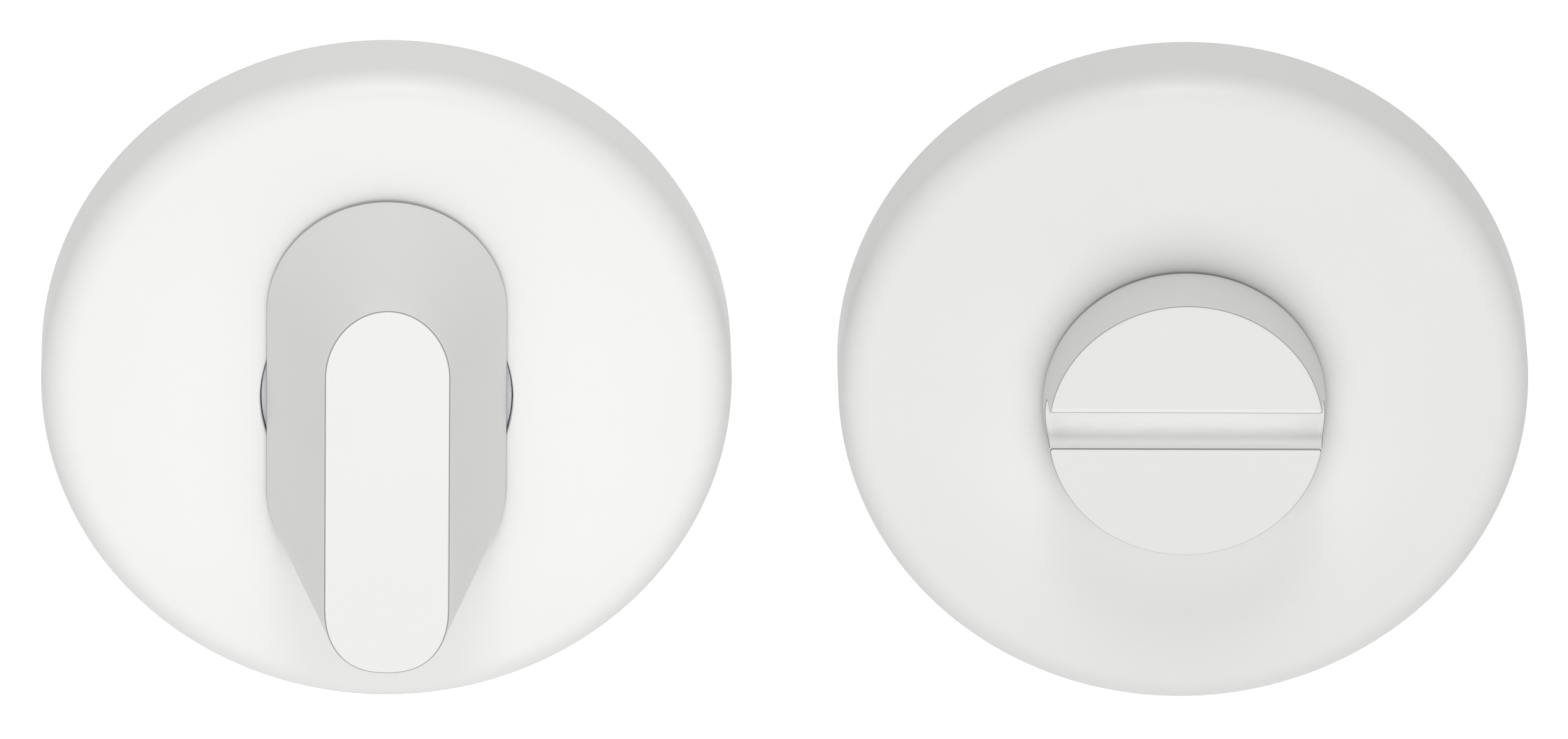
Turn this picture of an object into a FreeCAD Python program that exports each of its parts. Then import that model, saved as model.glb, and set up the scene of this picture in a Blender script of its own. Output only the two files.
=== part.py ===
import FreeCAD, Part

# Bathroom lock set for a round-rose door: an inside half with a thumb turn and an outside half
# with a coin release. Each half is modelled about its own axis, with x to the right, y up and
# z out of the door. place() then turns it so that up is Z and the door lies at Y = 0, and moves
# the outside half along X, where the two stand side by side.

import math
import os

os.makedirs("parts", exist_ok=True)

Vec = FreeCAD.Vector
OUTWARD = Vec(0, 0, 1)
UPWARD = Vec(0, 1, 0)

# The set
half_gap = 8.0                 # between the two roses

# Rose cover: a shallow cap with a rounded edge and a slightly crowned face
rose_edge_r = 2.6
rose_crown_r = 550.0
rose_wall = 1.5
rose_hole_chamfer = 0.25
notch_width = 6.0              # for a blade that prises the cover off, at the bottom
notch_height = 1.0

# Snap between cover and base
snap_groove_depth = 0.3
snap_groove_height = 0.8
snap_below_rim = 0.7           # from the base's rim down to the groove
snap_count = 4
snap_span = 14.0               # degrees that one lug takes up
finger_span = 20.0             # degrees that the springy wall behind it takes up
finger_slot = 1.0

# Moulded base
base_wall = 1.4
base_skin = 1.0
base_rim_height = 1.9          # above the base's front, round the plate
bay_wall = 1.4                 # wall round the bay that holds the washers
rib_t = 1.2
rib_count = 12
boss_wall = 2.6                # round a bolt hole

# Steel plate
plate_t = 1.0

# Hub of the handle or the disc
hub_wall = 1.44                # beyond the square socket's corners
hub_standoff = 0.15            # between the hub's end and the door
hub_lip = 0.55                 # behind the groove
groove_depth = 0.3
shoulder_width = 1.3           # of the step that rests on the bush
socket_corner_r = 0.4
turn_web = 7.5                 # between the socket's end and the handle's face
release_web = 2.2              # between the socket's end and the coin slot

# Bush
bush_recess = 0.5              # below the face of the rose
bush_wall = 2.37
bush_flange_width = 2.2
bush_flange_t = 1.4
bush_spigot_wall = 1.4

# Retaining ring, thrust washer and wave washer
circlip_t = 1.0
circlip_width = 2.35           # of the ring, on average
circlip_offset = 0.45
circlip_mouth = 4.6
lug_r = 1.65
lug_hole_r = 0.8
lug_angle = 27.0               # degrees from the mouth's middle
thrust_t = 0.4
washer_width = 2.6
wave_height = 0.5
wave_t = 0.25
wave_count = 3

# Thumb turn
turn_base_width = 18.1
turn_base_length = 32.8
turn_face_width = 9.35
turn_face_length = 30.0
turn_face_end = 5.6            # length of a rounded end of the face
turn_height = 16.4             # above its underside
turn_bevel = 0.25
turn_gap = 0.25                # between its underside and the rose

# Release disc
disc_base_d = 21.3
disc_face_d = 20.7
disc_height = 5.4
disc_bevel = 0.2
slot_width = 2.9
slot_depth = 3.5

# Spindle and its screw
spindle_side = 8.0
spindle_chamfer = 0.6
spindle_reach = 42.0           # behind the door's face
spindle_end_gap = 0.3          # inside the handle
grub_d = 4.0
grub_recess = 2.0              # of its outer end in the handle
grub_height = 4.2              # of its axis above the handle's underside
grub_hex = 2.0
grub_hex_depth = 2.2

# Through bolts and sleeves
bolt_spacing = 38.0
bolt_d = 4.0
bolt_length = 35.0             # under the head
bolt_thread_length = 29.0
bolt_neck_d = 3.5              # between head and thread
bolt_tip_chamfer = 0.6
head_d = 7.4                   # of a bolt or a sleeve
head_h = 2.0
head_side_room = 0.32          # from a head to the base's rim
head_room = 0.35               # from a bolt's head to the cover
head_chamfer = 0.5
recess_length = 4.2
recess_width = 0.9
recess_depth = 1.2
sleeve_d = 6.0
sleeve_head_t = 1.0
sleeve_reach = 14.0            # behind the door's face
sleeve_bore_d = 3.3            # tapping size of the thread

# Clearances
running = 0.05                 # hub in bush, retaining ring in groove, spindle in socket
snug = 0.08                    # plate in base, cover on base and bush, sleeve in plate
seat = 0.02                    # between faces that rub
loose = 0.3                    # bolt in its hole, ring and washers in the bay

# Heights above the door that follow from the stack on the hub
groove_z = hub_standoff + hub_lip
groove_width = circlip_t + 2 * seat
thrust_z = groove_z + groove_width
wave_z = thrust_z + thrust_t + seat
plate_z = wave_z + wave_height + seat
bush_z = plate_z + plate_t

# Radii that follow from the spindle, outward to the cover's hole
socket_side = spindle_side + 2 * running
hub_r = (socket_side / 2 - socket_corner_r) * math.sqrt(2) + socket_corner_r + hub_wall
ring_in_r = hub_r - groove_depth + running
ring_out_r = ring_in_r + circlip_width
eye_circle_r = ring_out_r - circlip_offset
washer_in_r = hub_r + running
washer_out_r = washer_in_r + washer_width
bay_r = max(eye_circle_r + lug_r, washer_out_r) + loose
bush_in_r = hub_r + running
bush_out_r = bush_in_r + bush_wall
bush_spigot_r = bush_in_r + bush_spigot_wall
rose_hole_r = bush_out_r + snug

# The rose just covers the bolts: 52 mm across and 8 mm deep
head_reach = (bolt_spacing + head_d) / 2
base_inner_r = head_reach + head_side_room
base_r = base_inner_r + base_wall
cover_inner_r = base_r + snug
rose_r = cover_inner_r + rose_wall
half_spacing = 2 * rose_r + half_gap
rim_z = plate_z + base_rim_height
snap_groove_z = rim_z - snap_below_rim - snap_groove_height
head_top_z = bush_z + head_h
crown_centre_z = head_top_z + head_room - math.sqrt((rose_crown_r - rose_wall) ** 2 - head_reach ** 2)


def crown_z(r, inset=0.0):
    """Height of the crowned face at radius r, or of the face that lies an inset below it."""
    return crown_centre_z + math.sqrt((rose_crown_r - inset) ** 2 - r ** 2)


# Heights that follow from the crowned face at its hole
bush_top_z = crown_z(rose_hole_r) - bush_recess
handle_z = crown_z(rose_hole_r) + turn_gap
turn_top_z = handle_z + turn_height
disc_top_z = handle_z + disc_height
slot_floor_z = disc_top_z - slot_depth
grub_z = handle_z + grub_height


def cylinder(r, z0, z1):
    return Part.makeCylinder(r, z1 - z0, Vec(0, 0, z0), OUTWARD)


def tube(r_out, r_in, z0, z1):
    return cylinder(r_out, z0, z1).cut(cylinder(r_in, z0, z1))


def block(width, height, z0, z1):
    """A box about the axis, width along x and height along y."""
    return Part.makeBox(width, height, z1 - z0, Vec(-width / 2, -height / 2, z0))


def turned(edges, degrees=360.0):
    """A solid of revolution about the axis, from the edges of a closed half section."""
    return Part.Face(Part.Wire(edges)).revolve(Vec(0, 0, 0), OUTWARD, degrees)


def sector(r_in, r_out, z0, z1, middle, span):
    """A piece of a tube that takes up a span of degrees about a middle direction."""
    corners = [Vec(r_in, 0, z0), Vec(r_out, 0, z0), Vec(r_out, 0, z1), Vec(r_in, 0, z1)]
    piece = turned(Part.makePolygon(corners + corners[:1]).Edges, span)
    piece.rotate(Vec(0, 0, 0), OUTWARD, middle - span / 2)
    return piece


def ray_slot(r_in, r_out, width, z0, z1, degrees):
    """A straight bar that runs outward at an angle."""
    bar = Part.makeBox(r_out - r_in, width, z1 - z0, Vec(r_in, -width / 2, z0))
    bar.rotate(Vec(0, 0, 0), OUTWARD, degrees)
    return bar


def at_bolts(shape):
    """The shape once at each bolt."""
    copies = []
    for side in (-1, 1):
        copy = shape.copy()
        copy.translate(Vec(side * bolt_spacing / 2, 0, 0))
        copies.append(copy)
    return copies


def line(a, b):
    return Part.LineSegment(a, b).toShape()


def outer_skin(hole_r):
    """Half section of the rose's outside from the door to the hole: wall, edge radius, crown."""
    edge_x = rose_r - rose_edge_r
    edge_z = crown_centre_z + math.sqrt((rose_crown_r - rose_edge_r) ** 2 - edge_x ** 2)
    lean = math.atan2(edge_x, edge_z - crown_centre_z)
    half_turn = (math.pi / 2 + lean) / 2

    def on_edge(angle):
        return Vec(edge_x + rose_edge_r * math.sin(angle), 0, edge_z + rose_edge_r * math.cos(angle))

    shoulder = Vec(rose_r, 0, edge_z)
    meeting = on_edge(lean)
    middle_r = (meeting.x + hole_r) / 2
    middle = Vec(middle_r, 0, crown_z(middle_r))
    end = Vec(hole_r, 0, crown_z(hole_r))
    return [
        line(Vec(rose_r, 0, 0), shoulder),
        Part.Arc(shoulder, on_edge(half_turn), meeting).toShape(),
        Part.Arc(meeting, middle, end).toShape(),
    ], end


def cover():
    """The cap, its hole with a small chamfer, the groove for the snap and the notch below."""
    outside, face_end = outer_skin(rose_hole_r + rose_hole_chamfer)
    lip = Vec(rose_hole_r, 0, face_end.z - rose_hole_chamfer)
    ceiling = Vec(rose_hole_r, 0, crown_z(rose_hole_r, rose_wall))
    bevel = max(rose_edge_r - rose_wall, rose_hole_chamfer)
    inner_edge = Vec(cover_inner_r - bevel, 0, crown_z(cover_inner_r - bevel, rose_wall))
    inner_shoulder = Vec(cover_inner_r, 0, inner_edge.z - bevel)
    inside = [
        line(face_end, lip),
        line(lip, ceiling),
        line(ceiling, inner_edge),
        line(inner_edge, inner_shoulder),
        line(inner_shoulder, Vec(cover_inner_r, 0, 0)),
        line(Vec(cover_inner_r, 0, 0), Vec(rose_r, 0, 0)),
    ]
    cap = turned(Part.__sortEdges__(outside + inside))
    groove = tube(cover_inner_r + snap_groove_depth, base_inner_r,
                  snap_groove_z, snap_groove_z + snap_groove_height)
    notch = Part.makeBox(notch_width, rose_wall * 2, notch_height,
                         Vec(-notch_width / 2, -rose_r - rose_wall / 2, 0))
    return cap.cut(groove).cut(notch)


def snap_angles():
    """Directions of the snap lugs, midway between the bolts' line and the upright."""
    return [360.0 / snap_count * (i + 0.5) for i in range(snap_count)]


def base(hole_r):
    """Ribbed moulding with a bay for the washers, bosses for the bolts and springy snap walls."""
    boss_r = hole_r + boss_wall
    pocket = tube(base_inner_r, bay_r + bay_wall, 0, plate_z - base_skin)
    for i in range(rib_count):
        rib = ray_slot(bay_r, base_r, rib_t, 0, plate_z, 360.0 / rib_count * i)
        pocket = pocket.cut(rib)
    for boss in at_bolts(cylinder(boss_r, 0, plate_z)):
        pocket = pocket.cut(boss)
    body = tube(base_r, bay_r, 0, plate_z).cut(pocket)
    body = body.fuse(tube(base_r, base_inner_r, plate_z, rim_z))
    free_r = base_inner_r - finger_slot
    for angle in snap_angles():
        body = body.cut(sector(free_r, base_inner_r, base_skin, rim_z, angle, finger_span))
        for side in (-1, 1):
            edge = angle + side * finger_span / 2
            body = body.cut(ray_slot(free_r, base_r + snug, finger_slot, base_skin, rim_z, edge))
        lug = sector(base_r - snug, cover_inner_r + snap_groove_depth - snug,
                     snap_groove_z + running, snap_groove_z + snap_groove_height - running,
                     angle, snap_span)
        body = body.fuse(lug)
    for hole in at_bolts(cylinder(hole_r, 0, plate_z)):
        body = body.cut(hole)
    return body.removeSplitter()


def plate(hole_r):
    """Steel disc that lies in the base's rim, bored for the bush and the bolts or sleeves."""
    sheet = tube(base_inner_r - snug, bush_spigot_r + running, plate_z, bush_z)
    for hole in at_bolts(cylinder(hole_r, plate_z, bush_z)):
        sheet = sheet.cut(hole)
    return sheet


def bearing():
    """Flanged bush: a spigot in the plate, a flange on it and a neck in the cover's hole."""
    neck = cylinder(bush_out_r, bush_z, bush_top_z)
    flange = cylinder(bush_out_r + bush_flange_width, bush_z, bush_z + bush_flange_t)
    spigot = cylinder(bush_spigot_r, plate_z, bush_z)
    bore = cylinder(bush_in_r, plate_z, bush_top_z)
    return neck.fuse([flange, spigot]).cut(bore).removeSplitter()


def hub():
    """Shaft under a handle or disc: a shoulder on the bush, the journal and the ring's groove."""
    shoulder = cylinder(hub_r + shoulder_width, bush_top_z + seat, handle_z)
    journal = cylinder(hub_r, hub_standoff, bush_top_z + seat)
    groove = tube(hub_r + running, hub_r - groove_depth, groove_z, groove_z + groove_width)
    return journal.cut(groove).fuse(shoulder)


def socket(end_z):
    """Square hole for the spindle from the hub's end, with rounded corners."""
    square = block(socket_side, socket_side, 0, end_z)
    upright = [e for e in square.Edges if e.BoundBox.ZLength > end_z / 2]
    return square.makeFillet(socket_corner_r, upright)


def oblong(width, length, end_length, z):
    """Closed outline of two straight flanks joined by half ellipses."""
    half = width / 2
    straight = length / 2 - end_length

    def end_arc(side):
        centre = Vec(0, side * straight, z)
        near = Vec(side * half, side * straight, z)
        far = Vec(0, side * (straight + end_length), z)
        flank = Vec(-side * half, side * straight, z)
        if abs(end_length - half) < 1e-6:
            return Part.Arc(near, far, flank).toShape()
        if end_length > half:
            return Part.ArcOfEllipse(Part.Ellipse(far, flank, centre), -math.pi / 2, math.pi / 2).toShape()
        return Part.ArcOfEllipse(Part.Ellipse(flank, far, centre), math.pi, 2 * math.pi).toShape()

    flanks = [
        line(Vec(-half, straight, z), Vec(-half, -straight, z)),
        line(Vec(half, -straight, z), Vec(half, straight, z)),
    ]
    return Part.Wire([end_arc(1), flanks[0], end_arc(-1), flanks[1]])


def handle_body():
    """Tapered grip: straight rulings from a round-ended foot to a narrower face with a bevel."""
    foot = (turn_base_width, turn_base_length, turn_base_width / 2)
    face = (turn_face_width, turn_face_length, turn_face_end)
    share = 1 - turn_bevel / turn_height
    brow = tuple(a + (b - a) * share for a, b in zip(foot, face))
    inner = (face[0] - 2 * turn_bevel, face[1] - 2 * turn_bevel, face[2] - turn_bevel)
    outlines = [
        oblong(*foot, handle_z),
        oblong(*brow, turn_top_z - turn_bevel),
        oblong(*inner, turn_top_z),
    ]
    return Part.makeLoft(outlines, True, True)


def thumb_turn():
    """Handle, hub, square socket and the threaded hole for the grub screw from below."""
    body = handle_body().fuse(hub())
    body = body.cut(socket(turn_top_z - turn_web))
    reach = max(turn_base_length, turn_face_length) / 2
    hole = Part.makeCylinder(grub_d / 2 + running, reach, Vec(0, 0, grub_z), -UPWARD)
    return body.cut(hole).removeSplitter()


def disc_body():
    """Low tapered disc with a bevelled face and a round-bottomed slot right across it."""
    face_r = disc_face_d / 2
    section = [
        Vec(0, 0, handle_z),
        Vec(disc_base_d / 2, 0, handle_z),
        Vec(face_r, 0, disc_top_z - disc_bevel),
        Vec(face_r - disc_bevel, 0, disc_top_z),
        Vec(0, 0, disc_top_z),
    ]
    disc = turned(Part.makePolygon(section + section[:1]).Edges)
    radius = slot_width / 2
    round_z = slot_floor_z + radius
    trench = block(disc_base_d, slot_width, round_z, disc_top_z)
    start = Vec(-disc_base_d / 2, 0, round_z)
    return disc.cut(trench.fuse(Part.makeCylinder(radius, disc_base_d, start, Vec(1, 0, 0))))


def release_turn():
    """Coin-slot disc with its hub and the square socket that takes the spindle's end."""
    return disc_body().fuse(hub()).cut(socket(slot_floor_z - release_web)).removeSplitter()


def circlip():
    """Retaining ring, wider opposite its mouth, with an eye for the pliers at each end."""
    z0 = groove_z + seat
    z1 = z0 + circlip_t
    ring = cylinder(ring_out_r, z0, z1)
    ring.translate(Vec(0, -circlip_offset, 0))
    mouth = Part.makeBox(circlip_mouth, ring_out_r, circlip_t, Vec(-circlip_mouth / 2, 0, z0))
    centres = []
    for side in (-1, 1):
        turn = math.radians(90 + side * lug_angle)
        centres.append(Vec(eye_circle_r * math.cos(turn), eye_circle_r * math.sin(turn), z0))
    lugs = [Part.makeCylinder(lug_r, circlip_t, centre, OUTWARD) for centre in centres]
    eyes = [Part.makeCylinder(lug_hole_r, circlip_t, centre, OUTWARD) for centre in centres]
    ring = ring.cut(mouth).fuse(lugs).cut(cylinder(ring_in_r, z0, z1))
    return ring.cut(eyes[0]).cut(eyes[1]).removeSplitter()


def thrust_washer():
    return tube(washer_out_r, washer_in_r, thrust_z, thrust_z + thrust_t)


def wave_washer():
    """Ring of constant thickness that rises and falls, so that it springs between two faces."""
    swing = (wave_height - wave_t) / 2
    steps = wave_count * 8

    def rim(r, lift):
        points = []
        for i in range(steps):
            turn = 2 * math.pi * i / steps
            height = wave_z + swing + lift + swing * math.cos(wave_count * turn)
            points.append(Vec(r * math.cos(turn), r * math.sin(turn), height))
        curve = Part.BSplineCurve()
        curve.interpolate(Points=points, PeriodicFlag=True)
        return curve.toShape()

    low_in, low_out = rim(washer_in_r, 0), rim(washer_out_r, 0)
    high_in, high_out = rim(washer_in_r, wave_t), rim(washer_out_r, wave_t)
    pairs = [(low_in, low_out), (low_out, high_out), (high_out, high_in), (high_in, low_in)]
    faces = [Part.makeRuledSurface(a, b) for a, b in pairs]
    solid = Part.Solid(Part.Shell(faces))
    if solid.Volume < 0:
        solid.reverse()
    return solid


def spindle():
    """Square bar with chamfered edges, from the handle's socket to behind the door's face."""
    bar = block(spindle_side, spindle_side, -spindle_reach, turn_top_z - turn_web - spindle_end_gap)
    return bar.makeChamfer(spindle_chamfer, bar.Edges)


def grub_screw():
    """Headless screw that stands on the spindle, with a hexagon socket in its outer end."""
    start = Vec(0, -spindle_side / 2 - seat, grub_z)
    share = grub_height / turn_height
    surface_y = -(turn_base_length + (turn_face_length - turn_base_length) * share) / 2
    outer_y = surface_y + grub_recess
    screw = Part.makeCylinder(grub_d / 2, start.y - outer_y, start, -UPWARD)
    corner_r = grub_hex / math.sqrt(3)
    corners = []
    for i in range(7):
        turn = math.radians(60 * i)
        corners.append(Vec(corner_r * math.cos(turn), outer_y, grub_z + corner_r * math.sin(turn)))
    key = Part.Face(Part.makePolygon(corners)).extrude(UPWARD * grub_hex_depth)
    return screw.cut(key)


def through_bolt():
    """Low-headed bolt with a cross recess, pointing into the door."""
    head = cylinder(head_d / 2, bush_z, head_top_z)
    crown_edges = [e for e in head.Edges if e.BoundBox.ZMin > bush_z + head_h / 2]
    head = head.makeChamfer(head_chamfer, crown_edges)
    tip_z = bush_z - bolt_length
    thread = cylinder(bolt_d / 2, tip_z, tip_z + bolt_thread_length)
    tip_edges = [e for e in thread.Edges if e.BoundBox.ZMax < tip_z + bolt_thread_length / 2]
    thread = thread.makeChamfer(bolt_tip_chamfer, tip_edges)
    shank = thread.fuse(cylinder(bolt_neck_d / 2, tip_z + bolt_thread_length, bush_z))
    recess_z = head_top_z - recess_depth
    cross = block(recess_length, recess_width, recess_z, head_top_z)
    cross = cross.fuse(block(recess_width, recess_length, recess_z, head_top_z))
    return head.fuse(shank).cut(cross).removeSplitter()


def sleeve():
    """Threaded post, headed over the plate, open towards the door."""
    post = cylinder(sleeve_d / 2, -sleeve_reach, bush_z)
    post = post.fuse(cylinder(head_d / 2, bush_z, bush_z + sleeve_head_t))
    return post.cut(cylinder(sleeve_bore_d / 2, -sleeve_reach, plate_z)).removeSplitter()


def place(shape, x):
    """Up becomes Z and out of the door becomes -Y, and the half moves to its place along X."""
    placed = shape.copy()
    placed.rotate(Vec(0, 0, 0), Vec(1, 0, 0), 90)
    placed.translate(Vec(x, 0, 0))
    return placed


def export(name, shape, x):
    place(shape, x).exportStep(f"parts/{name}.step")


def export_rose(side, hole_r, x):
    """The pieces that both halves have."""
    export(f"{side}_cover", cover(), x)
    export(f"{side}_base", base(hole_r), x)
    export(f"{side}_plate", plate(hole_r), x)
    export(f"{side}_bearing", bearing(), x)
    export(f"{side}_wave_washer", wave_washer(), x)
    export(f"{side}_thrust_washer", thrust_washer(), x)
    export(f"{side}_circlip", circlip(), x)


export_rose("turn", bolt_d / 2 + loose, 0)
export("thumb_turn", thumb_turn(), 0)
export("spindle", spindle(), 0)
export("spindle_grub_screw", grub_screw(), 0)
export("through_bolts", Part.makeCompound(at_bolts(through_bolt())), 0)

export_rose("release", sleeve_d / 2 + snug, half_spacing)
export("release_turn", release_turn(), half_spacing)
export("release_sleeves", Part.makeCompound(at_bolts(sleeve())), half_spacing)
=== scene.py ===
# %% [markdown]
# A bathroom lock set for a round-rose door, in white powder coat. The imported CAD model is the
# fixed frame: it says where each piece sits and what turns on what. This script dresses it, piece
# by piece, with finer meshes and materials, and prints what it makes on the way.

import math

import bmesh
import bpy
import numpy as np
from mathutils import Matrix, Vector


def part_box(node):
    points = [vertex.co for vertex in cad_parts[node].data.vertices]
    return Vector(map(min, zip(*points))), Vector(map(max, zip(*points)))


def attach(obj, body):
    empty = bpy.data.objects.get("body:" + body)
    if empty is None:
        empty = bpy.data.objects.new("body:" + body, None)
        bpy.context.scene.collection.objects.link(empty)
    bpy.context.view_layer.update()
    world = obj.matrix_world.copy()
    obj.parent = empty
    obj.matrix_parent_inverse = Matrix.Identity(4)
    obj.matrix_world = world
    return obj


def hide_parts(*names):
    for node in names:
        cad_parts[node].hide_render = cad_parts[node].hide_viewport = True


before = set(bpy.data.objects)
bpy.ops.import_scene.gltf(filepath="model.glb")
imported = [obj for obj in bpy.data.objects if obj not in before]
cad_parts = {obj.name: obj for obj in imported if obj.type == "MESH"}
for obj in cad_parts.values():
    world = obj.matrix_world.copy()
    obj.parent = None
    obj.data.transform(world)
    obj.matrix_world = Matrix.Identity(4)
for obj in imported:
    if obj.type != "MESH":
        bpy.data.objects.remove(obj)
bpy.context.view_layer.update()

# %% [markdown]
# Each half is easiest to think of about its own axis, in millimetres, with x to the right, y up
# and z out of the door. The frame is in metres with the door at Y = 0 and the front towards -Y,
# so one function turns a half's points into the frame's.

# %% From a half's own axes to the frame
MM = 0.001


def in_frame(points, shift=0.0):
    """(x, y, z) in millimetres about a half's axis becomes (x + shift, -z, y) in metres."""
    points = np.asarray(points, float)
    return np.stack([points[..., 0] + shift, -points[..., 2], points[..., 1]], -1) * MM


def measured(node):
    """Centre along X, reach to the front and to the back, and half width of a CAD node, in mm."""
    low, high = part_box(node)
    return {
        "x": (low.x + high.x) / 2 / MM,
        "front": -low.y / MM,
        "back": -high.y / MM,
        "half_x": (high.x - low.x) / 2 / MM,
    }


release_x = round(measured("release_cover")["x"], 3)
SHIFT = {"turn": 0.0, "release": release_x}
print("the release stands", release_x, "mm to the right")

# %% [markdown]
# A surface is a grid of points worked out as whole arrays. A grid can close on itself round the
# axis, and its first and last rows can be closed with one flat face. Grids that share an edge are
# laid in one mesh and their doubled points merged, so that the piece is one closed skin.
# Shading is smooth, and breaks only where two faces meet at more than a set angle.

# %% Meshes from grids
BREAK_ANGLE = 32.0     # degrees
SAME_POINT = 1e-7      # metres


def grid_quads(rows, columns, ring):
    """Quads between neighbouring rows. In a ring the last column meets the first again."""
    i = np.arange(rows - 1)[:, None]
    j = np.arange(columns if ring else columns - 1)[None, :]
    after = (j + 1) % columns
    corners = [i * columns + j, i * columns + after, (i + 1) * columns + after, (i + 1) * columns + j]
    return np.stack(np.broadcast_arrays(*corners), -1).reshape(-1, 4)


def smooth_but_sharp(mesh, break_angle):
    mesh.shade_smooth()
    mesh.set_sharp_from_angle(angle=math.radians(break_angle))


def skin_from(name, sheets, shift=0.0, break_angle=BREAK_ANGLE):
    """One mesh from sheets, each (points, is_ring, cap_first, cap_last)."""
    points, faces, start = [], [], 0
    for sheet, is_ring, cap_first, cap_last in sheets:
        rows, columns = sheet.shape[:2]
        points.append(in_frame(sheet, shift).reshape(-1, 3))
        faces += (grid_quads(rows, columns, is_ring) + start).tolist()
        if cap_first:
            faces.append(list(range(start, start + columns)))
        if cap_last:
            last = start + (rows - 1) * columns
            faces.append(list(range(last, last + columns)))
        start += rows * columns
    mesh = bpy.data.meshes.new(name)
    mesh.from_pydata(np.concatenate(points).tolist(), [], faces)
    skin = bmesh.new()
    skin.from_mesh(mesh)
    bmesh.ops.remove_doubles(skin, verts=skin.verts, dist=SAME_POINT)
    bmesh.ops.recalc_face_normals(skin, faces=skin.faces)
    open_edges = sum(1 for edge in skin.edges if len(edge.link_faces) != 2)
    skin.to_mesh(mesh)
    skin.free()
    smooth_but_sharp(mesh, break_angle)
    made = bpy.data.objects.new(name, mesh)
    bpy.context.scene.collection.objects.link(made)
    print(name, "faces", len(mesh.polygons), "open edges", open_edges)
    return made


def seat(made, body, node):
    """The piece stands for a CAD node: it moves with its body, and the node is hidden."""
    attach(made, body)
    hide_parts(node)
    return made


# %% [markdown]
# Most pieces here are turned parts. A profile is a list of (radius, height) points, swung about
# the axis. Small arcs in it stand for the rounding that every real edge has, and which catches
# the light.

# %% Turned surfaces
BEND_STEPS = 5


def arc(centre, radius, start, end, count):
    """Points at equal angles on an arc, in degrees, from the radius axis towards the height axis."""
    angle = np.radians(np.linspace(start, end, count))
    return np.stack([centre[0] + radius * np.cos(angle), centre[1] + radius * np.sin(angle)], -1)


def swung(profile, angles):
    """Each profile point (r, z) goes to (r cos a, r sin a, z) for every angle a."""
    r, z = np.asarray(profile, float).T
    return np.stack([
        r[:, None] * np.cos(angles),
        r[:, None] * np.sin(angles),
        np.broadcast_to(z[:, None], (len(z), len(angles))),
    ], -1)


def full_circle(count):
    return np.arange(count) * 2 * np.pi / count


def closed(profile):
    """A profile that ends where it starts, for a ring-shaped piece."""
    return np.concatenate([profile, np.asarray(profile)[:1]])


def bend(start, corner, end, share):
    """A soft corner from start to end: (1-t)^2 start + 2 t (1-t) corner + t^2 end, t the share."""
    return (1 - share) ** 2 * start + 2 * share * (1 - share) * corner + share ** 2 * end


def rounded(corners, radii):
    """A profile through the corners, each cut back by its radius and bridged by a bend."""
    corners = np.asarray(corners, float)
    before, after = np.roll(corners, 1, 0), np.roll(corners, -1, 0)
    share = np.linspace(0, 1, BEND_STEPS)[:, None]
    points = []
    for corner, previous, following, radius in zip(corners, before, after, radii):
        if radius == 0:
            points.append(corner[None])
            continue
        a = corner + (previous - corner) / np.linalg.norm(previous - corner) * radius
        b = corner + (following - corner) / np.linalg.norm(following - corner) * radius
        points.append(bend(a, corner, b, share))
    return np.concatenate(points)


# %% [markdown]
# A shader is arithmetic on numbers that vary over a surface. One small class wraps a socket, so
# that a mask reads as a sum in Python.

# %% Shader arithmetic
class Signal:
    """A socket whose value varies over the surface. Arithmetic on it adds Math nodes."""

    def __init__(self, finish, socket):
        self.finish = finish
        self.socket = socket

    def __add__(self, other):
        return self.finish.math("ADD", self, other)

    def __sub__(self, other):
        return self.finish.math("SUBTRACT", self, other)

    def __rsub__(self, other):
        return self.finish.math("SUBTRACT", other, self)

    def __mul__(self, other):
        return self.finish.math("MULTIPLY", self, other)

    def __truediv__(self, other):
        return self.finish.math("DIVIDE", self, other)

    def __pow__(self, other):
        return self.finish.math("POWER", self, other)

    def __abs__(self):
        return self.finish.math("ABSOLUTE", self)

    def root(self):
        return self.finish.math("SQRT", self)

    def at_least(self, other):
        return self.finish.math("MAXIMUM", self, other)

    def at_most(self, other):
        return self.finish.math("MINIMUM", self, other)


# %% [markdown]
# A second class holds the node tree of a material or of the world. One method adds every kind of
# node, and the others are the few mixtures that the finishes below share.

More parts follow.
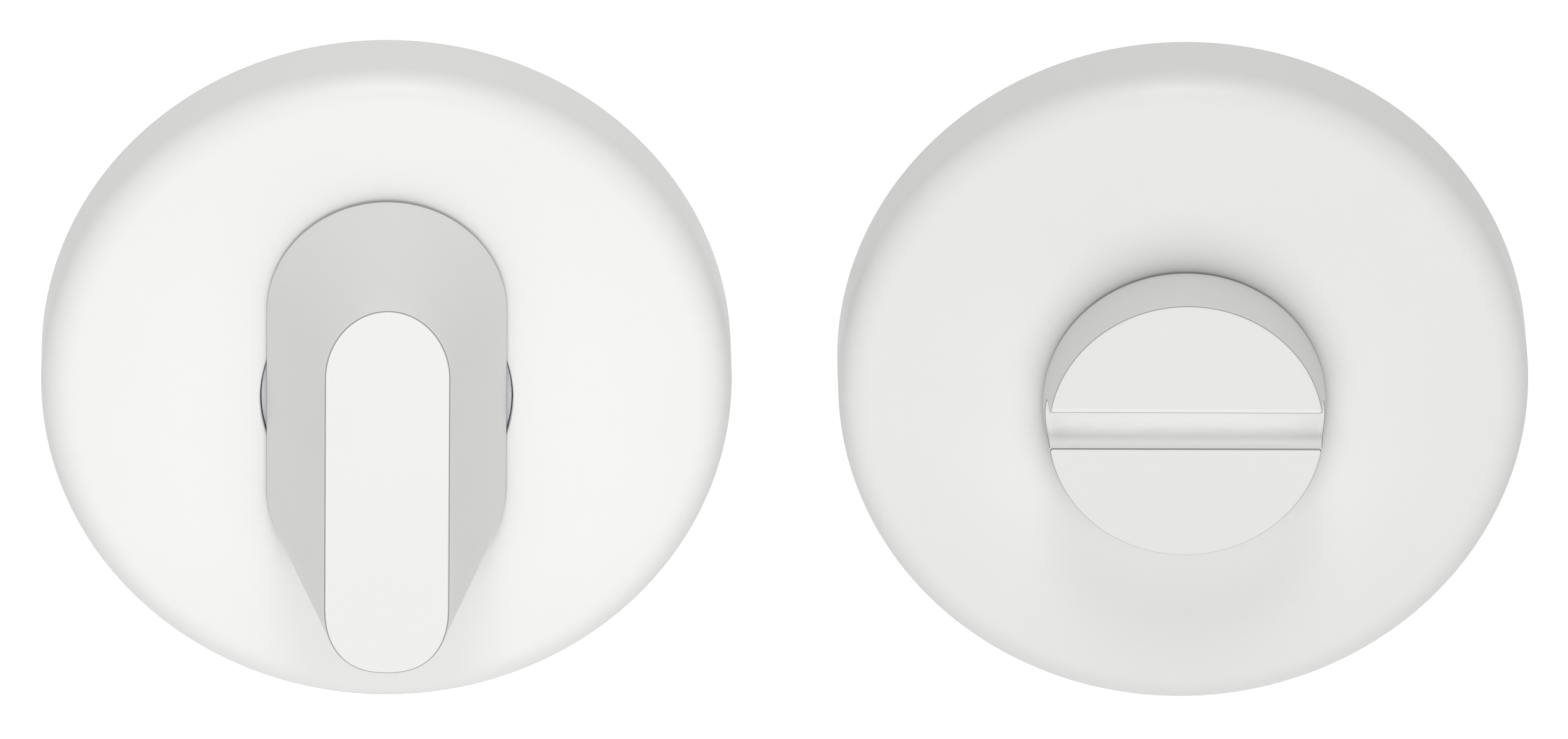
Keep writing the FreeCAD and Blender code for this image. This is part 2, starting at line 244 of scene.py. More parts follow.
# %% Node trees built by calls
class Finish:
    """The nodes of a material or of the world."""

    def __init__(self, owner):
        owner.use_nodes = True
        self.owner = owner
        self.tree = owner.node_tree
        self.tree.nodes.clear()

    def node(self, kind, settings=None, inputs=None, output=0):
        """Adds a node: its settings first, then the values or links of its sockets."""
        made = self.tree.nodes.new(kind)
        for key, value in (settings or {}).items():
            setattr(made, key, value)
        for key, value in (inputs or {}).items():
            if isinstance(value, Signal):
                self.tree.links.new(value.socket, made.inputs[key])
            else:
                made.inputs[key].default_value = value
        return Signal(self, made.outputs[output]) if made.outputs else None

    def math(self, operation, *values):
        return self.node("ShaderNodeMath", {"operation": operation}, dict(enumerate(values)))

    def place(self, shift):
        """Position, and x right, y up and z out of the door about a half's own axis, in mm."""
        found = self.node("ShaderNodeTexCoord", output="Object")
        split = self.node("ShaderNodeSeparateXYZ", inputs={0: found})
        parts = split.socket.node.outputs
        x, depth, height = (Signal(self, parts[i]) * (1 / MM) for i in range(3))
        return found, x - shift, height, depth * -1.0

    def blend(self, share, first, second):
        """Mix of two colours by a share."""
        settings = {"data_type": "RGBA", "blend_type": "MIX"}
        return self.node("ShaderNodeMix", settings, {0: share, 6: first, 7: second}, output=2)

    def noise(self, position, scale, detail):
        inputs = {"Vector": position, "Scale": scale, "Detail": detail}
        return self.node("ShaderNodeTexNoise", {}, inputs)

    def step(self, value, edge, width):
        """1 below the edge and 0 above it, with a soft change of the given width between."""
        return ((edge + width / 2 - value) / width).at_least(0.0).at_most(1.0)

    def seen(self):
        """1 for camera, glossy and transmission rays, and 0 for the rays that carry the light."""
        found = self.node("ShaderNodeLightPath", output="Is Camera Ray")
        for ray in ("Is Glossy Ray", "Is Transmission Ray"):
            found = found.at_least(self.node("ShaderNodeLightPath", output=ray))
        return found

    def surface(self, **inputs):
        """The shader itself, joined to the output. Underscores in names stand for spaces."""
        named = {key.replace("_", " "): value for key, value in inputs.items()}
        shader = self.node("ShaderNodeBsdfPrincipled", {}, named)
        self.node("ShaderNodeOutputMaterial", {}, {"Surface": shader})
        return self.owner


def material(name):
    return Finish(bpy.data.materials.new(name))


# %% [markdown]
# The photograph looks down on the set from 25 degrees above and a touch from the left, with
# next to no perspective, so the lens is very long. A longer one still would put the cameras of
# the other views, which keep it, further off than they see. The camera aims midway between the
# halves and a little below them, as the picture's frame does, and leans by half a degree to level
# the roses.

# %% Camera
IMAGE_WIDTH = 2560
PIXELS_PER_MM = 21.64
VIEW_AZIMUTH, VIEW_ELEVATION, VIEW_ROLL = -1.07, 25.35, -0.59
LENS, SENSOR = 700.0, 36.0
AIM_BELOW = 26.4 / PIXELS_PER_MM    # the frame's middle lies this far under the halves' middle
NEAR_LIMIT = 0.05

azimuth, elevation = math.radians(VIEW_AZIMUTH), math.radians(VIEW_ELEVATION)
back = Vector((
    math.sin(azimuth) * math.cos(elevation),
    -math.cos(azimuth) * math.cos(elevation),
    math.sin(elevation),
))
right = Vector((math.cos(azimuth), math.sin(azimuth), 0.0))
right = Matrix.Rotation(math.radians(-VIEW_ROLL), 3, back) @ right
up = back.cross(right)
distance = IMAGE_WIDTH / PIXELS_PER_MM * MM * LENS / SENSOR
middle = Vector((release_x * MM / 2, 0.0, 0.0)) - up * AIM_BELOW * MM

camera = bpy.data.objects.new("camera", bpy.data.cameras.new("camera"))
bpy.context.scene.collection.objects.link(camera)
camera.data.lens = LENS
camera.data.sensor_width = SENSOR
camera.data.clip_start = NEAR_LIMIT
camera.matrix_world = Matrix.Translation(middle + back * distance) @ Matrix(
    (right, up, back)).transposed().to_4x4()
bpy.context.scene.camera = camera
print("camera", round(distance, 3), "m away")

# %% [markdown]
# White on white lives from small differences of light. The set stands before a bright white
# ground, which lights the outer walls of the roses from behind but not the walls of the handles,
# since the roses hide it from them. The front half of the world is dark but for a wide soft glow
# straight ahead, which makes the faces the brightest surfaces and reaches the slot's floor. One
# lamp high in front lights the upper walls and leaves a sheen on the roses' rounded edges. The
# camera and every shine see the world as plain white, while all light stays at a level that
# leaves the coat below white.

# %% Light
GROUND = 0.79                    # the world's light from behind the set
GLOW, GLOW_FOCUS = 3.98, 8.0     # its light from straight ahead, and how fast it fades sideways
TOP_ELEVATION, TOP_DISTANCE, TOP_SIZE = 62.0, 1.6, 0.45
TOP_LIGHT = 0.245                # on a surface that faces the lamp
TOP_COLOUR = (1.0, 0.99, 0.94)   # a little warm, as the walls that face up in the photograph are


def top_panel():
    """A square lamp aimed at the set from its front: power = light * pi^2 * distance^2."""
    lamp = bpy.data.lights.new("top_panel", "AREA")
    lamp.size = TOP_SIZE
    lamp.color = TOP_COLOUR
    lamp.energy = TOP_LIGHT * math.pi ** 2 * TOP_DISTANCE ** 2
    height = math.radians(TOP_ELEVATION)
    direction = Vector((0, -math.cos(height), math.sin(height)))
    middle = Vector((release_x * MM / 2, 0, 0))
    made = bpy.data.objects.new("top_panel", lamp)
    turned = direction.to_track_quat("Z", "Y").to_matrix().to_4x4()
    made.matrix_world = Matrix.Translation(middle + direction * TOP_DISTANCE) @ turned
    bpy.context.scene.collection.objects.link(made)
    print("top panel power", round(lamp.energy, 2))


def studio():
    """Brightness = GROUND behind + GLOW (-y)^focus in front, and 1 for the camera and for shine."""
    sky = Finish(bpy.data.worlds.new("studio"))
    direction = sky.node("ShaderNodeTexCoord", output="Generated")
    depth = sky.node("ShaderNodeSeparateXYZ", {}, {0: direction}, output="Y")
    behind = sky.math("GREATER_THAN", depth, 0.0) * GROUND
    ahead = (depth * -1.0).at_least(0.0)
    light = behind + ahead ** GLOW_FOCUS * GLOW
    strength = light + (1.0 - light) * sky.seen()
    shade = sky.node("ShaderNodeBackground", {}, {"Color": (1, 1, 1, 1), "Strength": strength})
    sky.node("ShaderNodeOutputWorld", {}, {"Surface": shade})
    return sky.owner


top_panel()
bpy.context.scene.world = studio()
bpy.context.scene.view_settings.view_transform = "Standard"

# %% [markdown]
# The floor lies well under the set. It scatters light as pale card does and takes the set's soft
# shadow. To the camera and to every shine it glows a little, so that it meets the white around it
# without an edge.

# %% Floor
FLOOR_Z, FLOOR_R, FLOOR_CORNERS = -0.15, 0.6, 96
CARD = (0.85, 0.85, 0.85, 1)
CARD_GLOW = (0.55, 0.55, 0.55, 1)


def level_ring(radius, angles, z):
    """One row at height z: (radius cos a, radius sin a, z)."""
    return np.stack([radius * np.cos(angles), radius * np.sin(angles), np.full(len(angles), z)], -1)


def floor_finish():
    card = material("floor_card")
    glow = card.blend(card.seen(), (0, 0, 0, 1), CARD_GLOW)
    return card.surface(Base_Color=CARD, Roughness=0.9, Emission_Color=glow, Emission_Strength=1.0)


floor_mesh = bpy.data.meshes.new("floor")
floor_rim = level_ring(FLOOR_R, full_circle(FLOOR_CORNERS), FLOOR_Z)
floor_mesh.from_pydata(floor_rim.tolist(), [], [list(range(FLOOR_CORNERS))])
floor = bpy.data.objects.new("floor", floor_mesh)
bpy.context.scene.collection.objects.link(floor)
floor_mesh.materials.append(floor_finish())
print("floor", 2 * FLOOR_R, "m across,", -FLOOR_Z, "m under the set's middle")

# %% [markdown]
# The coat is a polyester powder baked on die-cast zinc: nearly white, matte, with a fine orange
# peel that only shows as a slight unevenness in the shine, and here and there a speck of dust.
# Where two faces meet, a fine grey line is drawn along the crease, and the rounding beside it is
# painted a shade lighter: a painted highlight. Painted shade darkens the foot of either handle and
# the rose round the disc. These marks follow the piece's own geometry, so each piece hands in its
# own masks.

# %% Powder coat
# One coat, painted lighter on the turn half and darker on the release half: painted light and shade for the
# two halves' different light.
WHITE_AS_LIT = {"turn": 0.915, "release": 0.829}
PAINTED_LIGHT_GAIN, LIGHTEST = 1.14, 0.95       # how much lighter the painted highlight and painted light make the coat, and its limit
# The grey of the drawn lines and of the painted shade.
LINE_AND_SHADE_GREY = (0.20, 0.205, 0.205, 1)
SPECK = (0.45, 0.44, 0.42, 1)
MOTTLE_SCALE, SPECK_SCALE, UNEVEN_SCALE, PEEL_SCALE = 140.0, 330.0, 600.0, 1500.0   # per metre
SPECK_RARITY, SPECK_SIZE, SPECK_SHARE = 0.8, 0.09, 0.35


def grey(level):
    """A white with blue a trace under red and green."""
    return (level, level, level * 0.997, 1)


def powder_coat(name, side, crease=None, painted_light=None):
    """Masks from 0 to 1 of (finish, x, y, z): crease for lines and painted shade, the last for painted
    light.
    """
    paint = material(name)
    position, x, y, z = paint.place(SHIFT[side])
    # This half's white carries the painted light and shade between the halves.
    white = WHITE_AS_LIT[side]
    mottle = paint.noise(position, MOTTLE_SCALE, 3.0)
    colour = paint.blend(mottle, grey(white * 0.985), grey(white))
    # Painted highlight and painted light: the coat is lightened where the mask says.
    if painted_light:
        colour = paint.blend(painted_light(paint, x, y, z), colour, grey(min(white * PAINTED_LIGHT_GAIN, LIGHTEST)))
    cells = {"Vector": position, "Scale": SPECK_SCALE}
    speck_distance = paint.node("ShaderNodeTexVoronoi", {}, cells)
    speck_pick = paint.node("ShaderNodeTexVoronoi", {}, cells, output="Color")
    pick = paint.node("ShaderNodeSeparateColor", {}, {0: speck_pick})
    size = (pick - SPECK_RARITY).at_least(0.0) * SPECK_SIZE
    speck = paint.step(speck_distance - size, 0.0, 0.006) * SPECK_SHARE
    colour = paint.blend(speck, colour, SPECK)
    # Grey lines and painted shade: the coat is drawn towards grey where the mask says.
    if crease:
        colour = paint.blend(crease(paint, x, y, z), colour, LINE_AND_SHADE_GREY)
    peel = paint.noise(position, PEEL_SCALE, 2.0)
    bump = paint.node("ShaderNodeBump", {}, {"Strength": 0.25, "Distance": 0.00001, "Height": peel})
    rough = paint.noise(position, UNEVEN_SCALE, 2.0)
    print(name, "white", white)
    return paint.surface(Base_Color=colour, Roughness=rough * 0.12 + 0.37, Normal=bump)


# %% [markdown]
# The rose cover is a pressed cap: a shallow crowned face with a hole, a soft edge of 2.6 mm, and
# a wall down to the door. Behind, it is hollow, with a groove in which the base's lugs snap. Its
# skin is one closed profile swung round the axis. For the notch by which a blade prises it off,
# the foot of the profile is lifted over a short stretch at the bottom.

# %% Rose covers
EDGE_R = 2.6
CROWN_R = 550.0
WALL = 1.5
HOLE_R = 9.5
HOLE_EDGE = 0.14
NOTCH_HALF = 3.0
NOTCH_HEIGHT = 1.0
SNAP_GROOVE = (3.08, 3.88, 0.3)       # from, to and depth
FOOT_ROUND = 0.15
COVER_COLUMNS = 240
NOTCH_SIDE = 0.0008        # half the angle that a side of the notch takes, in radians
NOTCH_CLEAR = 0.006        # columns nearer than this to it give way

cover_size = measured("turn_cover")
ROSE_R = 26.0
rose_depth = cover_size["front"]
print("rose", round(2 * cover_size["half_x"], 3), "mm across,", round(rose_depth, 3), "mm deep")
crown_centre = rose_depth - math.sqrt(CROWN_R ** 2 - (HOLE_R + HOLE_EDGE) ** 2)


def crown_height(r, inset=0.0):
    """Height of the crowned face at radius r, or of the face an inset below it."""
    return crown_centre + np.sqrt((CROWN_R - inset) ** 2 - np.asarray(r, float) ** 2)


def cover_profile():
    """Outside from the foot over the edge and the crown to the hole, and back along the inside."""
    inner_r = ROSE_R - WALL
    edge_x = ROSE_R - EDGE_R
    edge_z = crown_centre + math.sqrt((CROWN_R - EDGE_R) ** 2 - edge_x ** 2)
    lean = math.degrees(math.atan2(edge_x, edge_z - crown_centre))
    meeting = edge_x + EDGE_R * math.sin(math.radians(lean))
    face_r = np.linspace(meeting, HOLE_R + HOLE_EDGE, 20)
    lip_z = float(crown_height(HOLE_R + HOLE_EDGE)) - HOLE_EDGE
    bevel = EDGE_R - WALL
    ceiling_z = float(crown_height(inner_r - bevel, WALL))
    low, high, deep = SNAP_GROOVE
    return np.concatenate([
        arc((ROSE_R - FOOT_ROUND, FOOT_ROUND), FOOT_ROUND, -90, 0, 5),
        [(ROSE_R, 1.4), (ROSE_R, 2.6), (ROSE_R, 4.0)],
        arc((edge_x, edge_z), EDGE_R, 0, 90 - lean, 22),
        np.stack([face_r, crown_height(face_r)], -1)[1:-1],
        arc((HOLE_R + HOLE_EDGE, lip_z), HOLE_EDGE, 90, 180, 7),
        [(HOLE_R, float(crown_height(HOLE_R, WALL)))],
        [(inner_r - bevel, ceiling_z), (inner_r, ceiling_z - bevel)],
        [(inner_r, high), (inner_r + deep, high), (inner_r + deep, low), (inner_r, low), (inner_r, 1.4)],
        arc((inner_r + FOOT_ROUND, FOOT_ROUND), FOOT_ROUND, 180, 270, 5),
    ])


def rose_cover(side):
    """The profile swung round, its foot lifted where the notch is, closed with doubled end rows."""
    notch = math.asin(NOTCH_HALF / ROSE_R)
    middle_angle = 1.5 * math.pi
    steps = (-NOTCH_SIDE, NOTCH_SIDE)
    edges = [middle_angle + sign * notch + step for sign in (-1, 1) for step in steps]
    angles = full_circle(COVER_COLUMNS)
    near = np.min(np.abs(angles[:, None] - np.array(edges)), axis=1) < NOTCH_CLEAR
    angles = np.sort(np.concatenate([angles[~near], edges]))
    points = swung(closed(cover_profile()), angles)
    foot = points[..., 2] < 0.2
    in_notch = np.abs(angles - middle_angle) < notch
    points[..., 2] += NOTCH_HEIGHT * (foot & in_notch)
    made = skin_from(f"{side}_rose", [(points, True, False, False)], SHIFT[side])
    return seat(made, "fixed", f"{side}_cover")


covers = {side: rose_cover(side) for side in SHIFT}

# %% [markdown]
# Under either handle sits a hub: a shoulder that rests on the bush, a journal with a groove for
# the retaining ring, and a square socket for the spindle. Its rows follow whatever directions the
# handle's columns have, so that the handle, the hub and the socket are one unbroken skin.

# %% Hub and socket
HANDLE_Z = 8.166               # underside of either handle
BUSH_TOP = 7.416
RUNNING_GAP = 0.02             # between the bush and the shoulder that rests on it
HUB_R = 7.0
SHOULDER_R = HUB_R + 1.3
SHOULDER_BREAK = 0.1
GROOVE = (0.70, 1.74, 0.3)     # from, to and depth
HUB_END = 0.15
SOCKET_HALF = 4.05
SOCKET_CORNER = 0.4
EDGE_BREAK = 0.2


def square_reach(angles, half, corner):
    """Distance from the middle to the side of a square with rounded corners, in each direction.

    Along a side it is half / the larger of |cos| and |sin|. In a corner it is the far solution of
    the circle's equation about the corner's centre."""
    large = np.maximum(np.abs(np.cos(angles)), np.abs(np.sin(angles)))
    small = np.minimum(np.abs(np.cos(angles)), np.abs(np.sin(angles)))
    inner = half - corner
    along = inner * (large + small)
    curved = along + np.sqrt(np.maximum(along ** 2 - (2 * inner ** 2 - corner ** 2), 0))
    return np.where(small * half / large <= inner, half / large, curved)


def hub_rows(angles, socket_end):
    """Rows from the shoulder down the journal, round its end and up the socket to its bottom."""
    low, high, deep = GROOVE
    outside = [
        (SHOULDER_R, HANDLE_Z),
        (SHOULDER_R, BUSH_TOP + RUNNING_GAP + SHOULDER_BREAK),
        (SHOULDER_R - SHOULDER_BREAK, BUSH_TOP + RUNNING_GAP),
        (HUB_R, BUSH_TOP + RUNNING_GAP),
        (HUB_R, high),
        (HUB_R - deep, high),
        (HUB_R - deep, low),
        (HUB_R, low),
        (HUB_R, HUB_END + EDGE_BREAK),
        (HUB_R - EDGE_BREAK, HUB_END),
    ]
    rows = [level_ring(r, angles, z) for r, z in outside]
    mouth = square_reach(angles, SOCKET_HALF + EDGE_BREAK, SOCKET_CORNER + EDGE_BREAK)
    bore = square_reach(angles, SOCKET_HALF, SOCKET_CORNER)
    rows.append(level_ring(mouth, angles, HUB_END))
    rows.append(level_ring(bore, angles, HUB_END + EDGE_BREAK))
    rows.append(level_ring(bore, angles, socket_end))
    print("hub socket", 2 * SOCKET_HALF, "mm square,", round(socket_end - HUB_END, 2), "mm deep")
    return np.stack(rows)


# %% [markdown]
# Screw threads are a small wave on a cylinder. Its height depends on how far along and how far
# round the screw a point is, so one formula gives a bolt's thread and, a hair larger, the thread
# of the hole that takes it, in step with each other.

# %% Screw threads
PITCH = 0.7
THREAD_DEPTH = 0.32
FLAT = 0.125            # how far the wave passes crest and root before it is cut off flat
ROWS_PER_TURN = 8


def thread_radius(angles, along, crest_r):
    """Crest minus depth times a flattened triangle wave of (along / pitch - angle / full turn)."""
    phase = (along[:, None] / PITCH - angles[None, :] / (2 * np.pi)) % 1.0
    wave = np.abs(2 * phase - 1)
    return crest_r - THREAD_DEPTH * np.clip(wave * (1 + 2 * FLAT) - FLAT, 0, 1)


def thread_rows(angles, start, end, crest_r, run_out=0.0):
    """Rows of a thread along z, which runs out to the crest's radius over a length at its end."""
    along = np.linspace(start, end, int(abs(end - start) / PITCH * ROWS_PER_TURN) + 1)
    radius = thread_radius(angles, along, crest_r)
    keep = np.clip(np.abs(along - end) / run_out, 0, 1) if run_out else np.ones(len(along))
    radius = crest_r + (radius - crest_r) * keep[:, None]
    z = np.broadcast_to(along[:, None], radius.shape)
    print("thread", round(2 * crest_r, 2), "mm across,", round(abs(end - start), 2), "mm long")
    return np.stack([radius * np.cos(angles), radius * np.sin(angles), z], -1)


# %% [markdown]
# Holes that cross a piece at an angle are cut with a Boolean, as they would be drilled. The cut
# mesh is made real at once, so that nothing is left to work out later.

# %% Cutting
def cut(target, cutter):
    """Takes the cutter's volume out of the target and removes the cutter."""
    modifier = target.modifiers.new("cut", "BOOLEAN")
    modifier.object = cutter
    modifier.operation = "DIFFERENCE"
    modifier.solver = "EXACT"
    bpy.context.view_layer.update()
    evaluated = target.evaluated_get(bpy.context.evaluated_depsgraph_get())
    result = bpy.data.meshes.new_from_object(evaluated)
    target.modifiers.clear()
    target.data = result
    smooth_but_sharp(result, BREAK_ANGLE)
    bpy.data.objects.remove(cutter)
    print(target.name, "after cutting", len(result.polygons), "faces")


# %% [markdown]
# The thumb turn is a die-cast grip. Its foot is an oblong with round ends, its face a narrower
# one with shorter ends, a little fuller at the bottom than at the top, and straight rulings join
# them: that gives the sloping flanks and the slanted shell at either end. The face meets the
# walls in a crisp rounding, less than half a millimetre wide. Rows of the same oblong, from the
# face to the underside, carry the whole form.

# %% Thumb turn
END_COLUMNS, FLANK_COLUMNS = 72, 28
FOOT = (18.1, 32.8, 9.05, 2.0)     # width, length, length of an end and fullness of the lower end
FACE = (9.35, 30.0, 5.6, 2.4)
FACE_DROP = 0.16                   # the crease lies this far under the face
FACE_INSET = 0.42                  # and the face is flat from here inwards
FOOT_EDGE = 0.12
TURN_WEB = 7.5                     # metal between the face and the socket's bottom
WALL_ROWS = 30
GRUB_HEIGHT = 4.2                  # of the grub screw over the underside
GRUB_R = 2.0
THREAD_ROOM = 0.05

turn_top = measured("thumb_turn")["front"]
TURN_HEIGHT = turn_top - HANDLE_Z
print("thumb turn stands", round(TURN_HEIGHT, 2), "mm above its underside")


def oblong(width, length, end, fullness):
    """x = half width cos t and y = straight + end sin t round each end, straight lines between.

    In the lower end cos t and sin t are raised to 2 / fullness: above 2 its shoulders fill out."""
    half, straight = width / 2, length / 2 - end
    t = np.linspace(0, np.pi, END_COLUMNS, endpoint=False)
    run = np.linspace(straight, -straight, FLANK_COLUMNS, endpoint=False)
    side = np.full(FLANK_COLUMNS, half)
    across = np.sign(np.cos(t)) * np.abs(np.cos(t)) ** (2 / fullness)
    along = np.sin(t) ** (2 / fullness)
    x = np.concatenate([half * np.cos(t), -side, -half * across, side])
    y = np.concatenate([straight + end * np.sin(t), run, -straight - end * along, -run])
    return np.stack([x, y], -1)


def at_height(outline, z):
    return np.concatenate([outline, np.full((len(outline), 1), z)], -1)


def grip_rows():
    """Face, rounding, wall, foot and underside, each row one oblong."""
    foot, face = oblong(*FOOT), oblong(*FACE)

    def wall(z):
        share = (z - HANDLE_Z) / TURN_HEIGHT
        return at_height(foot + (face - foot) * share, z)

    def inset(outline, amount):
        width, length, end, fullness = outline
        return oblong(width - 2 * amount, length - 2 * amount, end - amount, fullness)

    corner = wall(turn_top)
    crease = wall(turn_top - FACE_DROP)
    flat = at_height(inset(FACE, FACE_INSET), turn_top)
    rows = [at_height(inset(FACE, FACE_INSET + 0.05), turn_top)]
    rows += [bend(flat, corner, crease, share) for share in np.linspace(0, 1, 8)]
    levels = np.linspace(turn_top - FACE_DROP, HANDLE_Z + FOOT_EDGE, WALL_ROWS)
    rows += [wall(z) for z in levels[1:-1]]
    above = wall(HANDLE_Z + FOOT_EDGE)
    under = at_height(inset(FOOT, FOOT_EDGE), HANDLE_Z)
    rows += [bend(above, wall(HANDLE_Z), under, share) for share in np.linspace(0, 1, BEND_STEPS)]
    return np.stack(rows)


def to_grub_screw(rows):
    """Rows about the axis z are laid about the grub screw's axis, from the spindle downwards."""
    return np.stack([rows[..., 0], -rows[..., 2], HANDLE_Z + GRUB_HEIGHT + rows[..., 1]], -1)


def thumb_turn():
    rows = grip_rows()
    foot = rows[-1]
    angles = np.arctan2(foot[:, 1], foot[:, 0])
    skin = np.concatenate([rows, hub_rows(angles, turn_top - TURN_WEB)])
    made = skin_from("thumb_turn_grip", [(skin, True, True, True)])
    around = full_circle(32)
    hole = thread_rows(around, SOCKET_HALF - 0.55, FOOT[1] / 2 + 1, GRUB_R + THREAD_ROOM)
    cut(made, skin_from("grub_hole", [(to_grub_screw(hole), True, True, True)]))
    return seat(made, "turn", "thumb_turn")


# %% [markdown]
# The release disc is low and slightly conical, with a coin slot right across it. Its skin has
# five kinds of patch that share their edge points: the ring below the slot, two walls beside it,
# two half-moon faces, the slot's own trough, and the hub. The half-moons sink towards their edges
# as a quarter ellipse does, which gives the rim and the slot their soft edges.

# %% Release disc
RIM_COLUMNS = 96
DISC_FOOT_R, DISC_RIM_R = 10.65, 10.35
RIM_DROP = 0.2
RIM_WIDTH, SLOT_EDGE_WIDTH = 0.22, 0.32
SLOT_HALF = 1.45
SLOT_DEPTH = 3.5
RELEASE_WEB = 2.2                  # metal between the slot's floor and the socket's bottom
DISC_BREAK = 0.12                  # of the lower edge
EDGE_SHARE = 0.45                  # of a short chord, the most that one soft edge takes

disc_top = measured("release_turn")["front"]
rim_z = disc_top - RIM_DROP
slot_floor = disc_top - SLOT_DEPTH
slot_round_z = slot_floor + SLOT_HALF
print("disc stands", round(disc_top - HANDLE_Z, 2), "mm above its underside")


def wall_radius(z):
    return DISC_FOOT_R + (DISC_RIM_R - DISC_FOOT_R) * (np.asarray(z) - HANDLE_Z) / (rim_z - HANDLE_Z)


def trough_section():
    """Half width and height from the trough's floor round a quarter circle and up its side."""
    turn = np.radians(np.linspace(0, 90, 14))
    straight = np.linspace(slot_round_z, rim_z, 6)[1:]
    half = np.concatenate([SLOT_HALF * np.sin(turn), np.full(5, SLOT_HALF)])
    z = np.concatenate([slot_round_z - SLOT_HALF * np.cos(turn), straight])
    return half, z


def mirrored(points):
    return points * np.array([1, -1, 1])


def disc_sheets():
    half, z = trough_section()
    radius = wall_radius(z)
    start = np.arcsin(half / radius)
    share = np.linspace(0, 1, RIM_COLUMNS + 1)
    angle = start[:, None] + (np.pi - 2 * start)[:, None] * share
    z_grid = np.broadcast_to(z[:, None], angle.shape)
    wall = np.stack([radius[:, None] * np.cos(angle), radius[:, None] * np.sin(angle), z_grid], -1)

    rim_angle = angle[-1]
    across = np.cos(rim_angle) / np.cos(rim_angle[0])
    reach = np.sqrt(radius ** 2 - half ** 2)
    x = reach[:, None] * across
    one_side = np.stack([x, np.broadcast_to(half[:, None], x.shape), z_grid], -1)
    trough = np.concatenate([one_side[::-1], mirrored(one_side)[1:]])

    rim_r = radius[-1]
    x, y_rim = rim_r * np.cos(rim_angle), rim_r * np.sin(rim_angle)
    length = y_rim - SLOT_HALF
    step = np.array([0, 0.05, 0.15, 0.3, 0.5, 0.75, 1.0])[:, None]
    near = np.minimum(SLOT_EDGE_WIDTH, EDGE_SHARE * length)
    far = np.minimum(RIM_WIDTH / np.sin(rim_angle), EDGE_SHARE * length)
    first = SLOT_HALF + step * near
    last = (y_rim - step * far)[::-1]
    between = np.linspace(0, 1, 9)[1:-1, None]
    y = np.concatenate([first, first[-1] + between * (last[0] - first[-1]), last])
    x = np.broadcast_to(x, y.shape)
    to_rim = np.clip(1 - (rim_r - np.hypot(x, y)) / RIM_WIDTH, 0, 1)
    to_slot = np.clip(1 - (y - SLOT_HALF) / SLOT_EDGE_WIDTH, 0, 1)
    drop = RIM_DROP * (1 - np.sqrt(np.maximum(1 - to_rim ** 2 - to_slot ** 2, 0)))
    moon = np.stack([x, y, disc_top - drop], -1)

    around = full_circle(2 * RIM_COLUMNS)
    levels = np.linspace(slot_floor, HANDLE_Z + DISC_BREAK, 5)
    lower = [(float(wall_radius(level)), level) for level in levels]
    lower += [(DISC_FOOT_R - 0.035, HANDLE_Z + 0.035), (DISC_FOOT_R - DISC_BREAK, HANDLE_Z)]
    rings = np.concatenate([swung(lower, around), hub_rows(around, slot_floor - RELEASE_WEB)])
    return [
        (rings, True, False, True),
        (wall, False, False, False),
        (mirrored(wall), False, False, False),
        (trough, False, False, False),
        (moon, False, False, False),
        (mirrored(moon), False, False, False),
    ]


# %% [markdown]
# The two handles are made here, and after them the pieces that show at the hole's edge and from
# behind: the bushes, the spindle, and the screws.

# %% Make the handles
grip = thumb_turn()
disc = seat(skin_from("release_disc", disc_sheets(), SHIFT["release"]), "release", "release_turn")

# %% [markdown]
# A crease is drawn where it is found, as a fine grey line. Along the outline of either face it is a
# narrow band of heights, part of the way up the rounding, so that it faces the viewer all round.
# Along the slot's lower edge the line is darker and wider: painted shade. Where the slot breaks
# through the disc's wall it is the curve on which both the distance to the slot's section and the
# distance to the wall are nearly nothing. The foot of either handle, just over the rose, gets a grey
# line of painted shade from the dark gap under it.

# %% Creases of the handles
LINE_SOFT = 0.02
FACE_LINE = (0.075, 0.028, 0.85)   # depth under the face and half width in mm, and strength
DISC_LINE = (0.10, 0.035, 0.75)
# The slot's lower edge: a darker, wider line of painted shade.
LOWER_SLOT_SHADE = (0.10, 0.045, 0.95)
SLOT_LINE, SLOT_LINE_STRENGTH = 0.06, 0.8
# Painted shade at the foot of either handle: how far up it reaches in mm, and its strength.
FOOT_SHADE, FOOT_SHADE_STRENGTH = 0.18, 0.7


def at_depth(paint, depth, line):
    """A band of heights, given by the depth under the face."""
    middle, half, strength = line
    return paint.step(abs(depth - middle), half, LINE_SOFT) * strength


def foot_shade(paint, z):
    """Painted shade on the lowest fifth of a millimetre of a handle's wall, by the dark gap under it."""
    return paint.step(abs(z - HANDLE_Z), FOOT_SHADE, 0.1) * FOOT_SHADE_STRENGTH


# The face's grey outline, and the painted shade at the foot.
def grip_lines_and_shade(paint, x, y, z):
    return at_depth(paint, turn_top - z, FACE_LINE).at_least(foot_shade(paint, z))


def disc_lines_and_shade(paint, x, y, z):
    """Outline, slot ends, painted shade on the slot's lower edge, and painted shade at the foot."""
    slope = (DISC_RIM_R - DISC_FOOT_R) / (rim_z - HANDLE_Z)
    wall = (z - HANDLE_Z) * slope + DISC_FOOT_R
    from_wall = wall - (x * x + y * y).root()
    below = (slot_round_z - z).at_least(0.0)
    from_slot = (y * y + below * below).root() - SLOT_HALF
    from_edge = (from_wall * from_wall + from_slot * from_slot).root()
    ends = paint.step(from_edge, SLOT_LINE, LINE_SOFT) * SLOT_LINE_STRENGTH
    lower = paint.step(abs(y + SLOT_HALF), 0.3, 0.1)
    outline = at_depth(paint, disc_top - z, DISC_LINE)
    # Painted shade along the slot's lower edge.
    lower_edge_shade = at_depth(paint, disc_top - z, LOWER_SLOT_SHADE) * lower
    return outline.at_least(ends).at_least(lower_edge_shade).at_least(foot_shade(paint, z))


